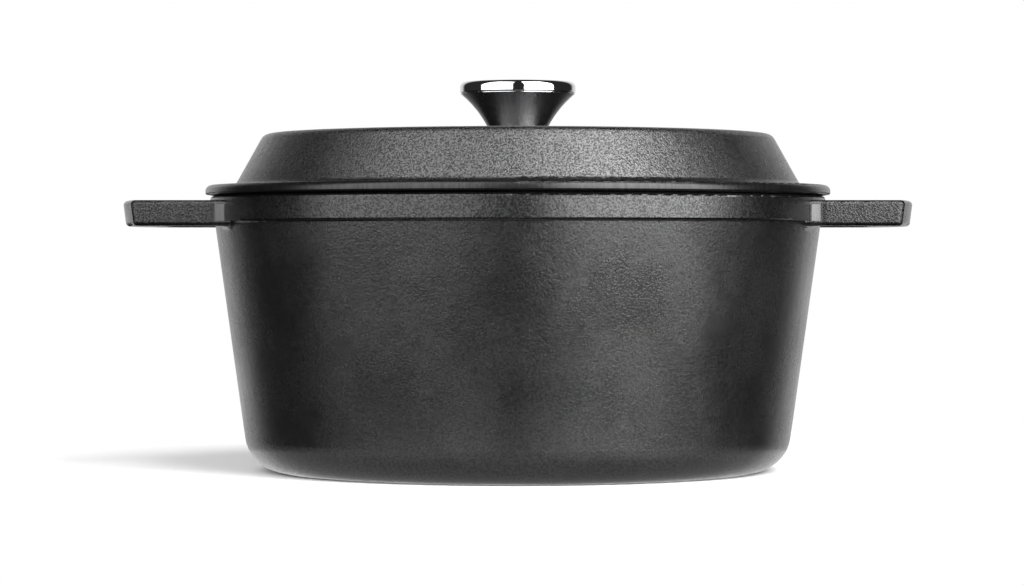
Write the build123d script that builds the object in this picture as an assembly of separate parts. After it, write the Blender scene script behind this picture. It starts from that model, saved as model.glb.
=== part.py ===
"""Cast iron dutch oven: a pot cast with two loop handles, and a lid that carries a steel knob.

The part stands on its flat base, with the origin at the base's centre, +Z up and the two
handles along X. All sizes are in millimetres. The pot and its handles are one casting, and
the lid is another. The knob is a flared steel body with a polished cap pressed over it. A
screw through the lid, with two washers under its head, pulls the knob down by the threaded
bush inside it.
"""

import os
from math import cos, hypot, radians, sqrt, tan

from build123d import *

# The pot
POT_HEIGHT = 122.2
BASE_RADIUS = 119.8  # where the line of the wall would meet the ground
WALL_LEAN = 7.92  # degrees from upright
WALL_THICKNESS = 4.3
BASE_THICKNESS = 5.2
BASE_ROUNDING = 17.0
INNER_ROUNDING = 14.0
RIM_INNER_ROUNDING = 0.9
RIM_OUTER_ROUNDING = 1.6

# The thicker band round the top of the pot
BAND_RADIUS = 137.3
BAND_BOTTOM = 111.0
BAND_EDGE_ROUNDING = 0.8
BAND_COVE = 0.9

# The loop handles, one at each end of the X axis
HANDLE_REACH = 175.7
HANDLE_HALF_WIDTH = 53.5
HANDLE_TOP = 120.0
HANDLE_BOTTOM = 108.8
HANDLE_DRAFT = 7.0  # degrees, narrower at the bottom
HANDLE_CORNER = 2.8
HANDLE_EDGE_ROUNDING = 1.8
HANDLE_ROOT_FLARE = 7.0
HANDLE_COVE = 3.5
GRIP_WIDTH = 13.0
ARM_WIDTH = 14.5
SLOT_CORNER = 8.0

# The lid
LID_TOP = 150.0
FLANGE_RADIUS = 139.4
FLANGE_THICKNESS = 4.9
FLANGE_TOP_ROUNDING = 2.6
FLANGE_EDGE_ROUNDING = 0.7
FLANGE_LIFT = 0.9  # the flange's outer edge is this far above the rim
SEAT_RADIUS = 134.6  # outside this the flange's underside slopes up
CONE_BOTTOM_RADIUS = 126.2
CONE_LEAN = 29.2  # degrees from upright
CONE_COVE = 3.2
LID_SHOULDER = 4.5
LID_THICKNESS = 4.1
LIP_DEPTH = 4.0
LIP_CLEARANCE = 0.8
LIP_ROUNDING = 0.8
LID_INNER_ROUNDING = 6.0
BOSS_RADIUS = 13.0
BOSS_DROP = 1.4
BASTING_RINGS = ((36.0, 6), (62.0, 12), (88.0, 18))  # ring radius and number of studs
STUD_HEIGHT = 3.2
STUD_RADIUS = 3.6
STUD_TIP_RADIUS = 1.5

# The knob
KNOB_FOOT_RADIUS = 12.5
KNOB_FOOT_HEIGHT = 1.2
KNOB_FOOT_ROUNDING = 0.4
KNOB_TOP_RADIUS = 25.7
KNOB_SHOULDER = 168.2  # height of the body's widest point, just below the cap
KNOB_FLARE = 46.0  # radius of the hollow curve of the body's side
KNOB_WALL = 1.6
KNOB_FLOOR = 1.8
SPIGOT_HEIGHT = 3.0  # the body's neck that the cap is pressed over
CAP_RADIUS = 25.9
CAP_TOP = 173.7
CAP_CORNER = 2.5
CAP_CROWN = 0.15
CAP_WALL = 1.5
CAP_EDGE_ROUNDING = 0.8
CAP_GAP = 0.25  # the joint line below the cap

# The threaded bush, the screw and its washers
BUSH_RADIUS = 5.5
BUSH_FLANGE_RADIUS = 8.0
BUSH_FLANGE_HEIGHT = 1.8
BUSH_TOP = 163.0
BUSH_BORE_TOP = 160.5
BUSH_CLEARANCE = 0.05
SCREW_RADIUS = 3.0
SCREW_CLEARANCE = 0.08
SCREW_TIP = 159.5
SCREW_TIP_CHAMFER = 0.5
SCREW_HOLE_RADIUS = 3.4
SCREW_HEAD_RADIUS = 5.8
SCREW_HEAD_HEIGHT = 3.6
SCREW_HEAD_ROUNDING = 1.8
CROSS_WIDTH = 1.5
CROSS_SPAN = 6.4
CROSS_DEPTH = 2.0
WASHER_RADIUS = 9.0
WASHER_BORE = 3.2
WASHER_THICKNESS = 1.6
SPRING_WASHER_RADIUS = 5.6
SPRING_WASHER_THICKNESS = 1.5
SPRING_WASHER_GAP = 0.9
SPRING_WASHER_SLANT = 20.0  # degrees

# Values that follow from those above
LEAN = tan(radians(WALL_LEAN))
WALL_INSET = WALL_THICKNESS / cos(radians(WALL_LEAN))
CORE_RADIUS = BAND_RADIUS - WALL_THICKNESS + 0.4  # how deep a handle runs into the wall
ROOT_RADIUS = CORE_RADIUS + 0.7  # how deep the slot does
HANDLE_MIDDLE = (HANDLE_TOP + HANDLE_BOTTOM) / 2
CONE_SLOPE = tan(radians(CONE_LEAN))
CONE_INSET = LID_THICKNESS / cos(radians(CONE_LEAN))
FLANGE_TOP = POT_HEIGHT + FLANGE_THICKNESS
LID_CEILING = LID_TOP - LID_THICKNESS
BOSS_BOTTOM = LID_CEILING - BOSS_DROP
WASHER_BOTTOM = BOSS_BOTTOM - WASHER_THICKNESS
SPRING_WASHER_BOTTOM = WASHER_BOTTOM - SPRING_WASHER_THICKNESS
SCREW_HEAD_BOTTOM = SPRING_WASHER_BOTTOM - SCREW_HEAD_HEIGHT
SPIGOT_RADIUS = CAP_RADIUS - CAP_WALL
SPIGOT_TOP = KNOB_SHOULDER + SPIGOT_HEIGHT
KNOB_FLOOR_TOP = LID_TOP + KNOB_FLOOR


def outer_wall(z):
    """Radius of the pot's outside at height z."""
    return BASE_RADIUS + LEAN * z


def inner_wall(z):
    """Radius of the pot's inside at height z."""
    return outer_wall(z) - WALL_INSET


def outer_cone(z):
    """Radius of the lid's slanted outside at height z."""
    return CONE_BOTTOM_RADIUS - CONE_SLOPE * (z - FLANGE_TOP)


def inner_cone(z):
    """Radius of the lid's slanted inside at height z."""
    return outer_cone(z) - CONE_INSET


def turned(section, roundings=()):
    """A solid turned about Z from a face drawn with radius as X and height as Y.

    Each rounding is (corner's radius from the axis, corner's height, rounding radius).
    """
    for x, y, radius in roundings:
        corner = section.vertices().sort_by_distance(Vector(x, y, 0))[0]
        section = fillet(corner, radius)
    return revolve(Plane.XZ * section, axis=Axis.Z)


def turned_outline(points, roundings=()):
    """A solid turned about Z from a closed outline of (radius, height) points."""
    return turned(make_face(Polyline(*points, close=True)), roundings)


def upright_ring(outer, inner, bottom, height):
    """A plain ring round the Z axis."""
    low = (Align.CENTER, Align.CENTER, Align.MIN)
    blank = Cylinder(outer, height, align=low) - Cylinder(inner, height, align=low)
    return Pos(0, 0, bottom) * blank


def pot_vessel():
    """The round vessel without its handles."""
    band_foot = (outer_wall(BAND_BOTTOM), BAND_BOTTOM)
    inner_corner = (inner_wall(BASE_THICKNESS), BASE_THICKNESS)
    mouth = (inner_wall(POT_HEIGHT), POT_HEIGHT)
    outline = (
        (0, 0),
        (BASE_RADIUS, 0),
        band_foot,
        (BAND_RADIUS, BAND_BOTTOM),
        (BAND_RADIUS, POT_HEIGHT),
        mouth,
        inner_corner,
        (0, BASE_THICKNESS),
    )
    roundings = (
        (BASE_RADIUS, 0, BASE_ROUNDING),
        (*band_foot, BAND_COVE),
        (BAND_RADIUS, BAND_BOTTOM, BAND_EDGE_ROUNDING),
        (BAND_RADIUS, POT_HEIGHT, RIM_OUTER_ROUNDING),
        (*mouth, RIM_INNER_ROUNDING),
        (*inner_corner, INNER_ROUNDING),
    )
    return turned_outline(outline, roundings)


def edges_at(solid, height, nearest):
    """The edges whose middle is at this height and further than this from the axis."""
    level = solid.edges().filter_by(lambda edge: abs(edge.center().Z - height) < 0.01)
    return level.filter_by(lambda edge: hypot(edge.center().X, edge.center().Y) > nearest)


def handle_plan(half_width):
    """A strip of this half width along +X, seen from above."""
    return Pos(HANDLE_REACH / 2, 0) * Rectangle(HANDLE_REACH, 2 * half_width)


def grip_blank():
    """The handle's outer form: a strip whose far end is part of a cone round the pot's axis."""
    draft = tan(radians(HANDLE_DRAFT)) * (HANDLE_TOP - HANDLE_BOTTOM)
    outline = (
        (0, HANDLE_BOTTOM),
        (HANDLE_REACH - draft, HANDLE_BOTTOM),
        (HANDLE_REACH, HANDLE_TOP),
        (0, HANDLE_TOP),
    )
    return turned_outline(outline) & extrude(handle_plan(HANDLE_HALF_WIDTH), POT_HEIGHT)


def finger_slot():
    """The slot between the grip and the pot, right through the handle's height."""
    outline = Circle(HANDLE_REACH - GRIP_WIDTH) & handle_plan(HANDLE_HALF_WIDTH - ARM_WIDTH)
    outline -= Circle(ROOT_RADIUS)
    return extrude(fillet(outline.vertices(), SLOT_CORNER), POT_HEIGHT)


def root_flares():
    """The two upright coves where the sides of the arms meet the band."""
    strip = handle_plan(HANDLE_HALF_WIDTH)
    outline = strip + Circle(BAND_RADIUS)
    at_root = sqrt(BAND_RADIUS**2 - HANDLE_HALF_WIDTH**2)
    roots = [Vector(at_root, side, 0) for side in (HANDLE_HALF_WIDTH, -HANDLE_HALF_WIDTH)]
    corners = [outline.vertices().sort_by_distance(root)[0] for root in roots]
    outline = fillet(corners, HANDLE_ROOT_FLARE) - strip - Circle(CORE_RADIUS)
    outline &= handle_plan(HANDLE_HALF_WIDTH + 2 * HANDLE_ROOT_FLARE)
    height = HANDLE_TOP - HANDLE_EDGE_ROUNDING - BAND_BOTTOM
    return Pos(0, 0, BAND_BOTTOM) * extrude(outline, height)


def root_coves():
    """The hollow curves that carry the undersides of the arms into the wall."""
    foot = HANDLE_BOTTOM - HANDLE_COVE
    cove_start = (outer_wall(foot), foot)
    cove_end = (outer_wall(HANDLE_BOTTOM) + HANDLE_COVE, HANDLE_BOTTOM)
    rest = Polyline(
        cove_end,
        (cove_end[0], HANDLE_MIDDLE),
        (CORE_RADIUS, HANDLE_MIDDLE),
        (CORE_RADIUS, foot),
        cove_start,
    )
    section = make_face(Curve() + [RadiusArc(cove_start, cove_end, HANDLE_COVE), rest])
    arms = handle_plan(HANDLE_HALF_WIDTH - HANDLE_EDGE_ROUNDING)
    arms -= handle_plan(HANDLE_HALF_WIDTH - ARM_WIDTH + HANDLE_EDGE_ROUNDING)
    return turned(section) & extrude(arms, POT_HEIGHT)


def handle():
    """The handle at +X, long enough to run into the pot's wall."""
    loop = grip_blank() - finger_slot()
    loop = fillet(edges_at(loop, HANDLE_MIDDLE, HANDLE_REACH - GRIP_WIDTH + 1), HANDLE_CORNER)
    rims = edges_at(loop, HANDLE_TOP, HANDLE_HALF_WIDTH)
    rims += edges_at(loop, HANDLE_BOTTOM, HANDLE_HALF_WIDTH)
    loop = fillet(rims, HANDLE_EDGE_ROUNDING) - Cylinder(CORE_RADIUS, 3 * POT_HEIGHT)
    return loop + root_flares() + root_coves()


def pot_casting():
    """The vessel and its two handles, cast as one piece."""
    loop = handle()
    return pot_vessel() + loop + mirror(loop, Plane.YZ)


def stud():
    """A blunt basting stud that hangs down from z = 0."""
    return Pos(0, 0, -STUD_HEIGHT / 2) * Cone(STUD_TIP_RADIUS, STUD_RADIUS, STUD_HEIGHT)


def lid_casting():
    """The lid, with its locating lip, its basting studs and the hole for the knob's screw."""
    lip_bottom = POT_HEIGHT - LIP_DEPTH
    lip_radius = inner_wall(lip_bottom) - LIP_CLEARANCE
    cone_foot = (CONE_BOTTOM_RADIUS, FLANGE_TOP)
    shoulder = (outer_cone(LID_TOP), LID_TOP)
    lip_inside = (inner_cone(lip_bottom), lip_bottom)
    inner_corner = (inner_cone(LID_CEILING), LID_CEILING)
    outline = (
        (SCREW_HOLE_RADIUS, LID_TOP),
        shoulder,
        cone_foot,
        (FLANGE_RADIUS, FLANGE_TOP),
        (FLANGE_RADIUS, POT_HEIGHT + FLANGE_LIFT),
        (SEAT_RADIUS, POT_HEIGHT),
        (lip_radius, POT_HEIGHT),
        (lip_radius, lip_bottom),
        lip_inside,
        inner_corner,
        (BOSS_RADIUS + BOSS_DROP, LID_CEILING),
        (BOSS_RADIUS, BOSS_BOTTOM),
        (SCREW_HOLE_RADIUS, BOSS_BOTTOM),
    )
    roundings = (
        (*shoulder, LID_SHOULDER),
        (*cone_foot, CONE_COVE),
        (FLANGE_RADIUS, FLANGE_TOP, FLANGE_TOP_ROUNDING),
        (FLANGE_RADIUS, POT_HEIGHT + FLANGE_LIFT, FLANGE_EDGE_ROUNDING),
        (lip_radius, lip_bottom, LIP_ROUNDING),
        (*lip_inside, LIP_ROUNDING),
        (*inner_corner, LID_INNER_ROUNDING),
    )
    lid = turned_outline(outline, roundings)
    for ring_radius, count in BASTING_RINGS:
        lid += Pos(0, 0, LID_CEILING) * PolarLocations(ring_radius, count) * stud()
    return lid


def knob_body():
    """The knob's hollow flared body, with a floor that the bush grips and a neck for the cap."""
    foot = (KNOB_FOOT_RADIUS, LID_TOP + KNOB_FOOT_HEIGHT)
    shoulder = (KNOB_TOP_RADIUS, KNOB_SHOULDER)
    flare = RadiusArc(foot, shoulder, KNOB_FLARE)
    inner_flare = RadiusArc(
        (KNOB_FOOT_RADIUS - KNOB_WALL, KNOB_FLOOR_TOP),
        (SPIGOT_RADIUS - KNOB_WALL, KNOB_SHOULDER),
        KNOB_FLARE,
    )
    outside = Polyline(
        shoulder,
        (SPIGOT_RADIUS, KNOB_SHOULDER),
        (SPIGOT_RADIUS, SPIGOT_TOP),
        (SPIGOT_RADIUS - KNOB_WALL, SPIGOT_TOP),
        (SPIGOT_RADIUS - KNOB_WALL, KNOB_SHOULDER),
    )
    hole = BUSH_RADIUS + BUSH_CLEARANCE
    floor = Polyline(
        (KNOB_FOOT_RADIUS - KNOB_WALL, KNOB_FLOOR_TOP),
        (hole, KNOB_FLOOR_TOP),
        (hole, LID_TOP),
        (KNOB_FOOT_RADIUS, LID_TOP),
        foot,
    )
    section = make_face(Curve() + [flare, outside, inner_flare, floor])
    roundings = ((KNOB_FOOT_RADIUS, LID_TOP, KNOB_FOOT_ROUNDING),)
    return turned(section, roundings)


def knob_cap():
    """The shallow polished cup that closes the top of the knob."""
    skirt_bottom = KNOB_SHOULDER + CAP_GAP
    crown = (0, CAP_TOP)
    edge = (CAP_RADIUS, CAP_TOP - CAP_CROWN)
    rest = Polyline(
        edge,
        (CAP_RADIUS, skirt_bottom),
        (SPIGOT_RADIUS, skirt_bottom),
        (SPIGOT_RADIUS, SPIGOT_TOP),
        (0, SPIGOT_TOP),
        crown,
    )
    section = make_face(Curve() + [TangentArc(crown, edge, tangent=(1, 0)), rest])
    roundings = (
        (*edge, CAP_CORNER),
        (CAP_RADIUS, skirt_bottom, CAP_EDGE_ROUNDING),
    )
    return turned(section, roundings)


def knob_bush():
    """The flanged bush in the knob's floor that the screw pulls down."""
    bore = SCREW_RADIUS + SCREW_CLEARANCE
    flange_top = KNOB_FLOOR_TOP + BUSH_FLANGE_HEIGHT
    outline = (
        (bore, LID_TOP),
        (BUSH_RADIUS, LID_TOP),
        (BUSH_RADIUS, KNOB_FLOOR_TOP),
        (BUSH_FLANGE_RADIUS, KNOB_FLOOR_TOP),
        (BUSH_FLANGE_RADIUS, flange_top),
        (BUSH_RADIUS, flange_top),
        (BUSH_RADIUS, BUSH_TOP),
        (0, BUSH_TOP),
        (0, BUSH_BORE_TOP),
        (bore, BUSH_BORE_TOP),
    )
    return turned_outline(outline)


def knob_screw():
    """The pan-head screw that comes up through the lid; its thread is a plain shank."""
    outline = (
        (0, SCREW_HEAD_BOTTOM),
        (SCREW_HEAD_RADIUS, SCREW_HEAD_BOTTOM),
        (SCREW_HEAD_RADIUS, SPRING_WASHER_BOTTOM),
        (SCREW_RADIUS, SPRING_WASHER_BOTTOM),
        (SCREW_RADIUS, SCREW_TIP - SCREW_TIP_CHAMFER),
        (SCREW_RADIUS - SCREW_TIP_CHAMFER, SCREW_TIP),
        (0, SCREW_TIP),
    )
    screw = turned_outline(outline, ((SCREW_HEAD_RADIUS, SCREW_HEAD_BOTTOM, SCREW_HEAD_ROUNDING),))
    slot = Pos(0, 0, SCREW_HEAD_BOTTOM) * Box(CROSS_SPAN, CROSS_WIDTH, 2 * CROSS_DEPTH)
    return screw - slot - Rot(0, 0, 90) * slot


def flat_washer():
    """The plain washer below the lid's boss."""
    return upright_ring(WASHER_RADIUS, WASHER_BORE, WASHER_BOTTOM, WASHER_THICKNESS)


def spring_washer():
    """The split washer between the flat washer and the screw's head."""
    washer = upright_ring(
        SPRING_WASHER_RADIUS, WASHER_BORE, SPRING_WASHER_BOTTOM, SPRING_WASHER_THICKNESS
    )
    split = Rot(SPRING_WASHER_SLANT, 0, 0) * Box(
        SPRING_WASHER_RADIUS, SPRING_WASHER_GAP, 3 * SPRING_WASHER_THICKNESS
    )
    middle = Pos(
        (SPRING_WASHER_RADIUS + WASHER_BORE) / 2, 0, SPRING_WASHER_BOTTOM + SPRING_WASHER_THICKNESS / 2
    )
    return washer - middle * split


NODES = {
    "pot_casting": pot_casting,
    "lid_casting": lid_casting,
    "knob_body": knob_body,
    "knob_cap": knob_cap,
    "knob_bush": knob_bush,
    "knob_screw": knob_screw,
    "flat_washer": flat_washer,
    "spring_washer": spring_washer,
}

if __name__ == "__main__":
    os.makedirs("parts", exist_ok=True)
    for name, build in NODES.items():
        solid = build()
        export_step(solid, f"parts/{name}.step")
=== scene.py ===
from math import cos, pi, radians, sin

import bpy
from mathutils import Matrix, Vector

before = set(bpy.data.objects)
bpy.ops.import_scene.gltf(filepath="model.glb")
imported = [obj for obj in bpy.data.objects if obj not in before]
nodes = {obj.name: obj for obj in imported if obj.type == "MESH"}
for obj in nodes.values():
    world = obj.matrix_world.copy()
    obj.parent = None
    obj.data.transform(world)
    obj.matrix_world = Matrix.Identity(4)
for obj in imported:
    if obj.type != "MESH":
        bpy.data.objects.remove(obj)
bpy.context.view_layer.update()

# Lengths are in metres unless a comment says otherwise. A radiance of 1 shows as plain white.

# Camera
CAMERA_DISTANCE = 1.568
CAMERA_HEIGHT = 0.0975
PITCH_DOWN = radians(0.663)
YAW_LEFT = radians(0.095)
FOCAL_LENGTH = 123.05  # mm
SENSOR_WIDTH = 36.0  # mm
CLIP_END = 200.0

# The two upright soft boxes: (name, azimuth from the front in degrees, width, radiance)
SOFT_BOXES = (
    ("soft_box_left", -43.5, 1.72, 3.8),
    ("soft_box_right", 44.0, 1.56, 9.2),
)
BOX_DISTANCE = 1.3
BOX_TOP = 3.8
MIRROR_DEPTH = 0.9  # how deep the floor's dim reflection of a box reaches
MIRROR_SHARE = 0.05  # its brightness as a share of the box's

# Light that the pale floor throws up at the base
GLOW_WIDTH = 0.28
GLOW_DEPTH = 0.40
GLOW_HEIGHT = -0.001
GLOW_RADIANCE = 0.45

# The white sheet behind the object. Its edges fade between two values of a direction's y and z.
SHEET_RADIANCE = 0.9
DARK_RADIANCE = 0.03
SHEET_BACK = (0.66, 0.86)
SHEET_LOW = (-0.5, -0.3)

# The paper floor
FLOOR_RADIUS = 40.0
FLOOR_FADE = (0.11, 0.5)  # distances between which the paper turns to plain white
PAPER = (0.85, 0.85, 0.85)
NO_COLOUR = (0.0, 0.0, 0.0)

# The iron's base colours, each a range: cloudy skin and streaked ground metal. Worn skin has one.
SKIN = ((0.0055, 0.0055, 0.0055), (0.0085, 0.0085, 0.0086))
GROUND_IRON = ((0.004, 0.004, 0.004), (0.016, 0.016, 0.016))
WORN_SKIN = (0.014, 0.014, 0.014)

GROUND_ROUGHNESS = 0.27
GROUND_RELIEF = 0.25  # the streaks' height as a share of the grain's
RIM_DULLNESS = 0.42  # shine lost on the rim's band, the lid's flange and the handles

# Zones of the castings, each given by where it starts and where it is full
RIM_RADII = (0.1358, 0.1368)  # the rim's band, the lid's flange and the handles
WORN_RADII = (0.130, 0.134)
WORN_HEIGHTS = (0.098, 0.104)
FLANGE_EDGE_RADII = (0.1378, 0.1386)
SEAT_RADII = (0.1295, 0.1300)
SEAT_HEIGHTS = (0.1234, 0.1230)
RIM_TOP_HEIGHTS = (0.1214, 0.1219)
ROOT_HEIGHTS = (0.1030, 0.1045)
ROOT_DISTANCES = (0.0065, 0.0045)  # from the centre of a handle's root
ROOT_X = 0.1290  # centres of the four roots, on both sides of each axis
ROOT_Y = 0.0575


# Node helpers


def new_material(name):
    """A material, its node tree, and the one Principled shader in it."""
    material = bpy.data.materials.new(name)
    material.use_nodes = True
    tree = material.node_tree
    tree.nodes.clear()
    output = tree.nodes.new("ShaderNodeOutputMaterial")
    shader = tree.nodes.new("ShaderNodeBsdfPrincipled")
    tree.links.new(shader.outputs["BSDF"], output.inputs["Surface"])
    return material, tree, shader


def plug(tree, value, socket):
    """Links an output to a socket, or sets the socket if the value is a constant."""
    if isinstance(value, bpy.types.NodeSocket):
        tree.links.new(value, socket)
    else:
        socket.default_value = value


def math(tree, operation, *values, clamp=False):
    """One step of arithmetic, held between 0 and 1 if clamped."""
    node = tree.nodes.new("ShaderNodeMath")
    node.operation = operation
    node.use_clamp = clamp
    for socket, value in zip(node.inputs, values):
        plug(tree, value, socket)
    return node.outputs[0]


def ramp(tree, value, start, full, out_start=0.0, out_full=1.0):
    """Maps a value from one range to another by a smooth step, held at both ends."""
    node = tree.nodes.new("ShaderNodeMapRange")
    node.interpolation_type = "SMOOTHSTEP"
    limits = {"From Min": start, "From Max": full, "To Min": out_start, "To Max": out_full}
    for key, number in limits.items():
        node.inputs[key].default_value = number
    plug(tree, value, node.inputs["Value"])
    return node.outputs["Result"]


def place(tree):
    """The point's position in its own object."""
    return tree.nodes.new("ShaderNodeTexCoord").outputs["Object"]


def axes(tree, vector):
    """The x, y and z of a vector."""
    node = tree.nodes.new("ShaderNodeSeparateXYZ")
    tree.links.new(vector, node.inputs[0])
    return tuple(node.outputs)


def length(tree, x, y):
    """The length of a flat vector."""
    squares = math(tree, "ADD", math(tree, "MULTIPLY", x, x), math(tree, "MULTIPLY", y, y))
    return math(tree, "SQRT", squares)


def radius_and_height(tree, point):
    """Distance from the pot's axis, and height."""
    x, y, z = axes(tree, point)
    return length(tree, x, y), z


def stretched(tree, point, x, y, z):
    """The position with each axis scaled on its own."""
    node = tree.nodes.new("ShaderNodeMapping")
    node.inputs["Scale"].default_value = (x, y, z)
    tree.links.new(point, node.inputs["Vector"])
    return node.outputs[0]


def noise(tree, point, scale, detail=2.0, roughness=0.5, distortion=0.0):
    """Noise around 0.5, with the scale in features per metre."""
    node = tree.nodes.new("ShaderNodeTexNoise")
    node.inputs["Scale"].default_value = scale
    node.inputs["Detail"].default_value = detail
    node.inputs["Roughness"].default_value = roughness
    node.inputs["Distortion"].default_value = distortion
    tree.links.new(point, node.inputs["Vector"])
    return node.outputs["Fac"]


def blend(tree, factor, first, second):
    """A number between two, each given as a number or as another node's output."""
    node = tree.nodes.new("ShaderNodeMix")
    plug(tree, factor, node.inputs[0])
    plug(tree, first, node.inputs[2])
    plug(tree, second, node.inputs[3])
    return node.outputs[0]


def colour(tree, factor, first, second):
    """A colour between two, each given as numbers or as another node's output."""
    node = tree.nodes.new("ShaderNodeMix")
    node.data_type = "RGBA"
    plug(tree, factor, node.inputs[0])
    for value, socket in ((first, node.inputs[6]), (second, node.inputs[7])):
        plug(tree, (*value, 1) if isinstance(value, tuple) else value, socket)
    return node.outputs[2]


def bumped(tree, shader, height, depth):
    """Bump, with the depth of a full step of height."""
    node = tree.nodes.new("ShaderNodeBump")
    node.inputs["Strength"].default_value = 1.0
    node.inputs["Distance"].default_value = depth
    tree.links.new(height, node.inputs["Height"])
    tree.links.new(node.outputs["Normal"], shader.inputs["Normal"])


# Materials


def cast_grain(tree, point, size):
    """An orange-peel casting skin: its fine pebbles, and its whole height with the swells."""
    pebbles = noise(tree, point, 1.0 / size, detail=3.0, roughness=0.6, distortion=0.4)
    swells = noise(tree, point, 0.22 / size)
    height = math(tree, "ADD", math(tree, "MULTIPLY", pebbles, 0.9), math(tree, "MULTIPLY", swells, 0.4))
    return pebbles, height


def worn_edges(tree, point):
    """1 on the rounded edges of the rims and handles, broken up by noise, and 0 elsewhere."""
    _, _, upward = axes(tree, tree.nodes.new("ShaderNodeTexCoord").outputs["Normal"])
    slope = math(tree, "ABSOLUTE", upward)
    rounded = math(tree, "MULTIPLY", ramp(tree, slope, 0.3, 0.6), ramp(tree, slope, 0.98, 0.85))
    radius, height = radius_and_height(tree, point)
    near_rim = math(tree, "MULTIPLY", ramp(tree, radius, *WORN_RADII), ramp(tree, height, *WORN_HEIGHTS))
    patches = ramp(tree, noise(tree, point, 140.0, detail=4.0, roughness=0.7), 0.42, 0.6)
    return math(tree, "MULTIPLY", math(tree, "MULTIPLY", rounded, near_rim), patches)


def flange_edge(tree, point):
    """1 on the lid's ground outer edge, and on the seat below it."""
    radius, height = radius_and_height(tree, point)
    edge = ramp(tree, radius, *FLANGE_EDGE_RADII)
    seat = math(tree, "MULTIPLY", ramp(tree, radius, *SEAT_RADII), ramp(tree, height, *SEAT_HEIGHTS))
    return math(tree, "MAXIMUM", edge, seat)


def ground_roots(tree, point):
    """1 where the handles' roots were ground, and on the rim that the lid sits on."""
    x, y, height = axes(tree, point)
    across = math(tree, "SUBTRACT", math(tree, "ABSOLUTE", x), ROOT_X)
    along = math(tree, "SUBTRACT", math(tree, "ABSOLUTE", y), ROOT_Y)
    near_root = ramp(tree, length(tree, across, along), *ROOT_DISTANCES)
    roots = math(tree, "MULTIPLY", near_root, ramp(tree, height, *ROOT_HEIGHTS))
    return math(tree, "MAXIMUM", roots, ramp(tree, height, *RIM_TOP_HEIGHTS))


def iron(name, ground_zone, grain_size, grain_depth, grain_fade, grain_share, dullness, roughness):
    """Black cast iron with a pebbled skin, cloudy patches, worn edges and ground zones.

    The grain has the given share of its depth up to the first radius of grain_fade, and all of
    it from the second. The dullness is the shine lost in the skin's hollows, and that lost on
    the ground zones. The roughness is that of the two shades of cloud.
    """
    material, tree, shader = new_material(name)
    point = place(tree)
    radius, _ = radius_and_height(tree, point)
    ground = ground_zone(tree, point)
    worn = worn_edges(tree, point)
    clouds = ramp(tree, noise(tree, point, 35.0, detail=4.0, roughness=0.6), 0.3, 0.7)
    specks = ramp(tree, noise(tree, point, 900.0, detail=1.0), 0.62, 0.75)
    streaks = noise(tree, stretched(tree, point, 1.0, 1.0, 0.06), 1100.0, detail=3.0, roughness=0.65)
    pebbles, grain = cast_grain(tree, point, grain_size)

    skin = colour(tree, clouds, *SKIN)
    skin = colour(tree, math(tree, "MULTIPLY", worn, 0.7), skin, WORN_SKIN)
    bare = colour(tree, ramp(tree, streaks, 0.35, 0.65), *GROUND_IRON)
    tree.links.new(colour(tree, ground, skin, bare), shader.inputs["Base Color"])

    rough = blend(tree, clouds, *roughness)
    rough = math(tree, "SUBTRACT", rough, math(tree, "MULTIPLY", specks, 0.08))
    rough = math(tree, "SUBTRACT", rough, math(tree, "MULTIPLY", worn, 0.06))
    tree.links.new(blend(tree, ground, rough, GROUND_ROUGHNESS), shader.inputs["Roughness"])
    shader.inputs["Specular IOR Level"].default_value = 1.0

    # The base colour is so dark that a metallic share takes shine away
    hollows_dullness, ground_dullness = dullness
    dull = math(tree, "MULTIPLY", ramp(tree, pebbles, 0.54, 0.44), hollows_dullness)
    dull = math(tree, "ADD", dull, ramp(tree, radius, *RIM_RADII, 0.0, RIM_DULLNESS), clamp=True)
    tree.links.new(blend(tree, ground, dull, ground_dullness), shader.inputs["Metallic"])

    relief = math(tree, "MULTIPLY", grain, blend(tree, worn, 1.0, 0.5))
    relief = math(tree, "MULTIPLY", relief, ramp(tree, radius, *grain_fade, grain_share, 1.0))
    lines = math(tree, "MULTIPLY", streaks, GROUND_RELIEF)
    bumped(tree, shader, blend(tree, ground, relief, lines), grain_depth)
    return material


def steel(name, roughness, tint, line_depth):
    """Turned steel, with fine rings round the axis and faint smudges."""
    material, tree, shader = new_material(name)
    point = place(tree)
    rings = noise(tree, stretched(tree, point, 0.4, 0.4, 6.0), 900.0, detail=3.0, roughness=0.6)
    smudges = ramp(tree, noise(tree, point, 90.0, detail=4.0, roughness=0.6), 0.35, 0.7)

    uneven = math(tree, "ADD", math(tree, "MULTIPLY", rings, 0.35), math(tree, "MULTIPLY", smudges, 0.3))
    uneven = math(tree, "ADD", uneven, 0.7)
    tree.links.new(math(tree, "MULTIPLY", uneven, roughness), shader.inputs["Roughness"])
    smudged_tint = tuple(0.88 * channel for channel in tint)
    tree.links.new(colour(tree, smudges, tint, smudged_tint), shader.inputs["Base Color"])
    shader.inputs["Metallic"].default_value = 1.0
    bumped(tree, shader, rings, line_depth)
    return material


def pot_iron():
    return iron(
        "pot_iron",
        ground_roots,
        grain_size=0.00085,
        grain_depth=0.00026,
        grain_fade=(0.1385, 0.1400),
        grain_share=0.5,
        dullness=(0.35, 0.35),
        roughness=(0.23, 0.30),
    )


def lid_iron():
    return iron(
        "lid_iron",
        flange_edge,
        grain_size=0.00075,
        grain_depth=0.00028,
        grain_fade=(0.1080, 0.1120),
        grain_share=0.35,
        dullness=(0.7, 0.7),
        roughness=(0.24, 0.31),
    )


def knob_satin_steel():
    return steel("knob_satin_steel", roughness=0.17, tint=(0.55, 0.55, 0.56), line_depth=0.000003)


def knob_polished_steel():
    return steel("knob_polished_steel", roughness=0.05, tint=(0.66, 0.66, 0.67), line_depth=0.0000005)


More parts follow.
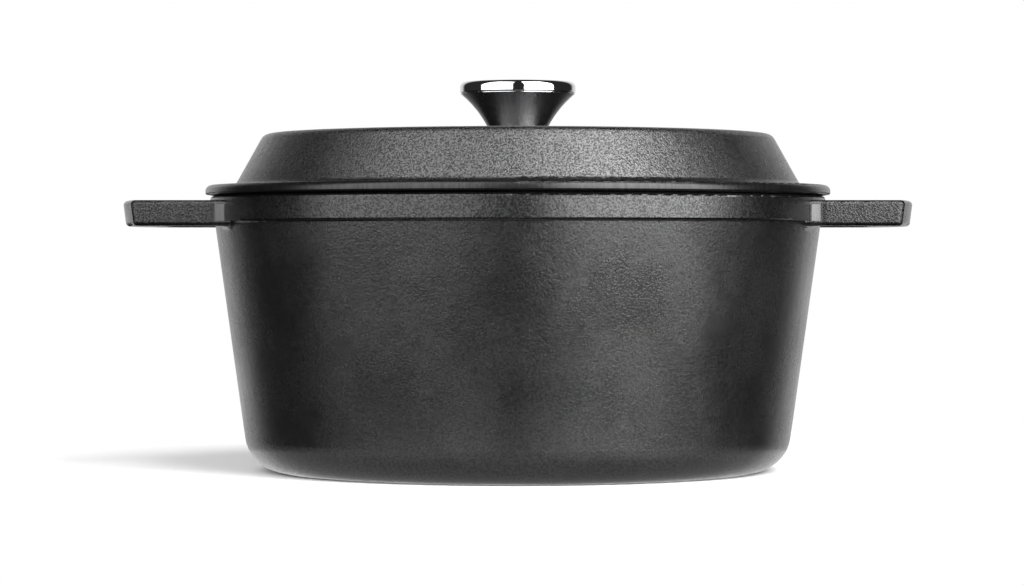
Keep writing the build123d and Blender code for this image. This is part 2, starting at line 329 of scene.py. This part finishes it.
def fastener_steel():
    return steel("fastener_steel", roughness=0.28, tint=(0.55, 0.55, 0.56), line_depth=0.000006)


def paint(material, *names):
    """Gives one material to each of the named nodes."""
    for name in names:
        mesh = nodes[name].data
        mesh.materials.clear()
        mesh.materials.append(material)


# Studio


def area_light(name, shape, width, depth, energy):
    """An area light that the camera doesn't see."""
    data = bpy.data.lights.new(name, "AREA")
    data.shape = shape
    data.size = width
    data.size_y = depth
    data.energy = energy
    light = bpy.data.objects.new(name, data)
    light.visible_camera = False
    bpy.context.collection.objects.link(light)
    return light


def panel(name, azimuth, width, bottom, top, radiance):
    """An upright light panel that faces the object's axis."""
    height = top - bottom
    light = area_light(name, "RECTANGLE", width, height, radiance * pi * width * height)
    away = Vector((sin(radians(azimuth)), -cos(radians(azimuth)), 0))
    light.location = away * BOX_DISTANCE
    light.location.z = (top + bottom) / 2
    light.rotation_euler = (-away).to_track_quat("-Z", "Y").to_euler()


def soft_box(name, azimuth, width, radiance):
    """A soft box that stands on the floor, with its dim reflection below the floor."""
    panel(name, azimuth, width, 0.0, BOX_TOP, radiance)
    panel(name + "_mirrored", azimuth, width, -MIRROR_DEPTH, 0.0, radiance * MIRROR_SHARE)


def floor_glow():
    """A dim oval of light that faces up round the object's base, just under the floor."""
    area = pi * GLOW_WIDTH * GLOW_DEPTH / 4
    light = area_light("floor_glow", "ELLIPSE", GLOW_WIDTH, GLOW_DEPTH, GLOW_RADIANCE * pi * area)
    light.location.z = GLOW_HEIGHT
    light.rotation_euler.x = pi


def studio_world():
    """White to the camera; to the object, a white sheet behind it and near darkness elsewhere."""
    world = bpy.data.worlds.new("studio")
    bpy.context.scene.world = world
    world.use_nodes = True
    tree = world.node_tree
    tree.nodes.clear()
    output = tree.nodes.new("ShaderNodeOutputWorld")
    _, y, z = axes(tree, tree.nodes.new("ShaderNodeTexCoord").outputs["Generated"])
    sheet = math(tree, "MULTIPLY", ramp(tree, y, *SHEET_BACK), ramp(tree, z, *SHEET_LOW))
    sheet = blend(tree, sheet, DARK_RADIANCE, SHEET_RADIANCE)
    seen = tree.nodes.new("ShaderNodeLightPath").outputs["Is Camera Ray"]
    background = tree.nodes.new("ShaderNodeBackground")
    background.inputs["Color"].default_value = (1, 1, 1, 1)
    tree.links.new(blend(tree, seen, sheet, 1.0), background.inputs["Strength"])
    tree.links.new(background.outputs[0], output.inputs["Surface"])


def floor_paper():
    """Pale paper that glows plain white away from the object, and can't be seen from below."""
    material, tree, shader = new_material("floor_paper")
    radius, _ = radius_and_height(tree, place(tree))
    far = ramp(tree, radius, *FLOOR_FADE)
    tree.links.new(colour(tree, far, PAPER, NO_COLOUR), shader.inputs["Base Color"])
    shader.inputs["Roughness"].default_value = 0.8
    shader.inputs["Specular IOR Level"].default_value = 0.0
    shader.inputs["Emission Color"].default_value = (1, 1, 1, 1)
    tree.links.new(far, shader.inputs["Emission Strength"])
    from_below = tree.nodes.new("ShaderNodeNewGeometry").outputs["Backfacing"]
    tree.links.new(math(tree, "SUBTRACT", 1.0, from_below), shader.inputs["Alpha"])
    return material


def studio_floor():
    """A disc of paper that doesn't show in the object's reflections."""
    bpy.ops.mesh.primitive_circle_add(vertices=128, radius=FLOOR_RADIUS, fill_type="NGON")
    disc = bpy.context.object
    disc.name = "floor"
    disc.data.materials.append(floor_paper())
    disc.visible_glossy = False
    disc.visible_diffuse = False
    disc.visible_shadow = False


def photo_camera():
    """A long lens that looks almost level from just below the handles."""
    data = bpy.data.cameras.new("camera")
    data.lens = FOCAL_LENGTH
    data.sensor_width = SENSOR_WIDTH
    data.clip_end = CLIP_END
    view = bpy.data.objects.new("camera", data)
    view.location = (0, -CAMERA_DISTANCE, CAMERA_HEIGHT)
    view.rotation_euler = (radians(90) - PITCH_DOWN, 0, YAW_LEFT)
    bpy.context.collection.objects.link(view)
    bpy.context.scene.camera = view


# The scene

paint(pot_iron(), "pot_casting")
paint(lid_iron(), "lid_casting")
paint(knob_satin_steel(), "knob_body")
paint(knob_polished_steel(), "knob_cap")
paint(fastener_steel(), "knob_bush", "knob_screw", "flat_washer", "spring_washer")

for box in SOFT_BOXES:
    soft_box(*box)
floor_glow()
studio_world()
studio_floor()
photo_camera()
bpy.context.scene.view_settings.view_transform = "Standard"
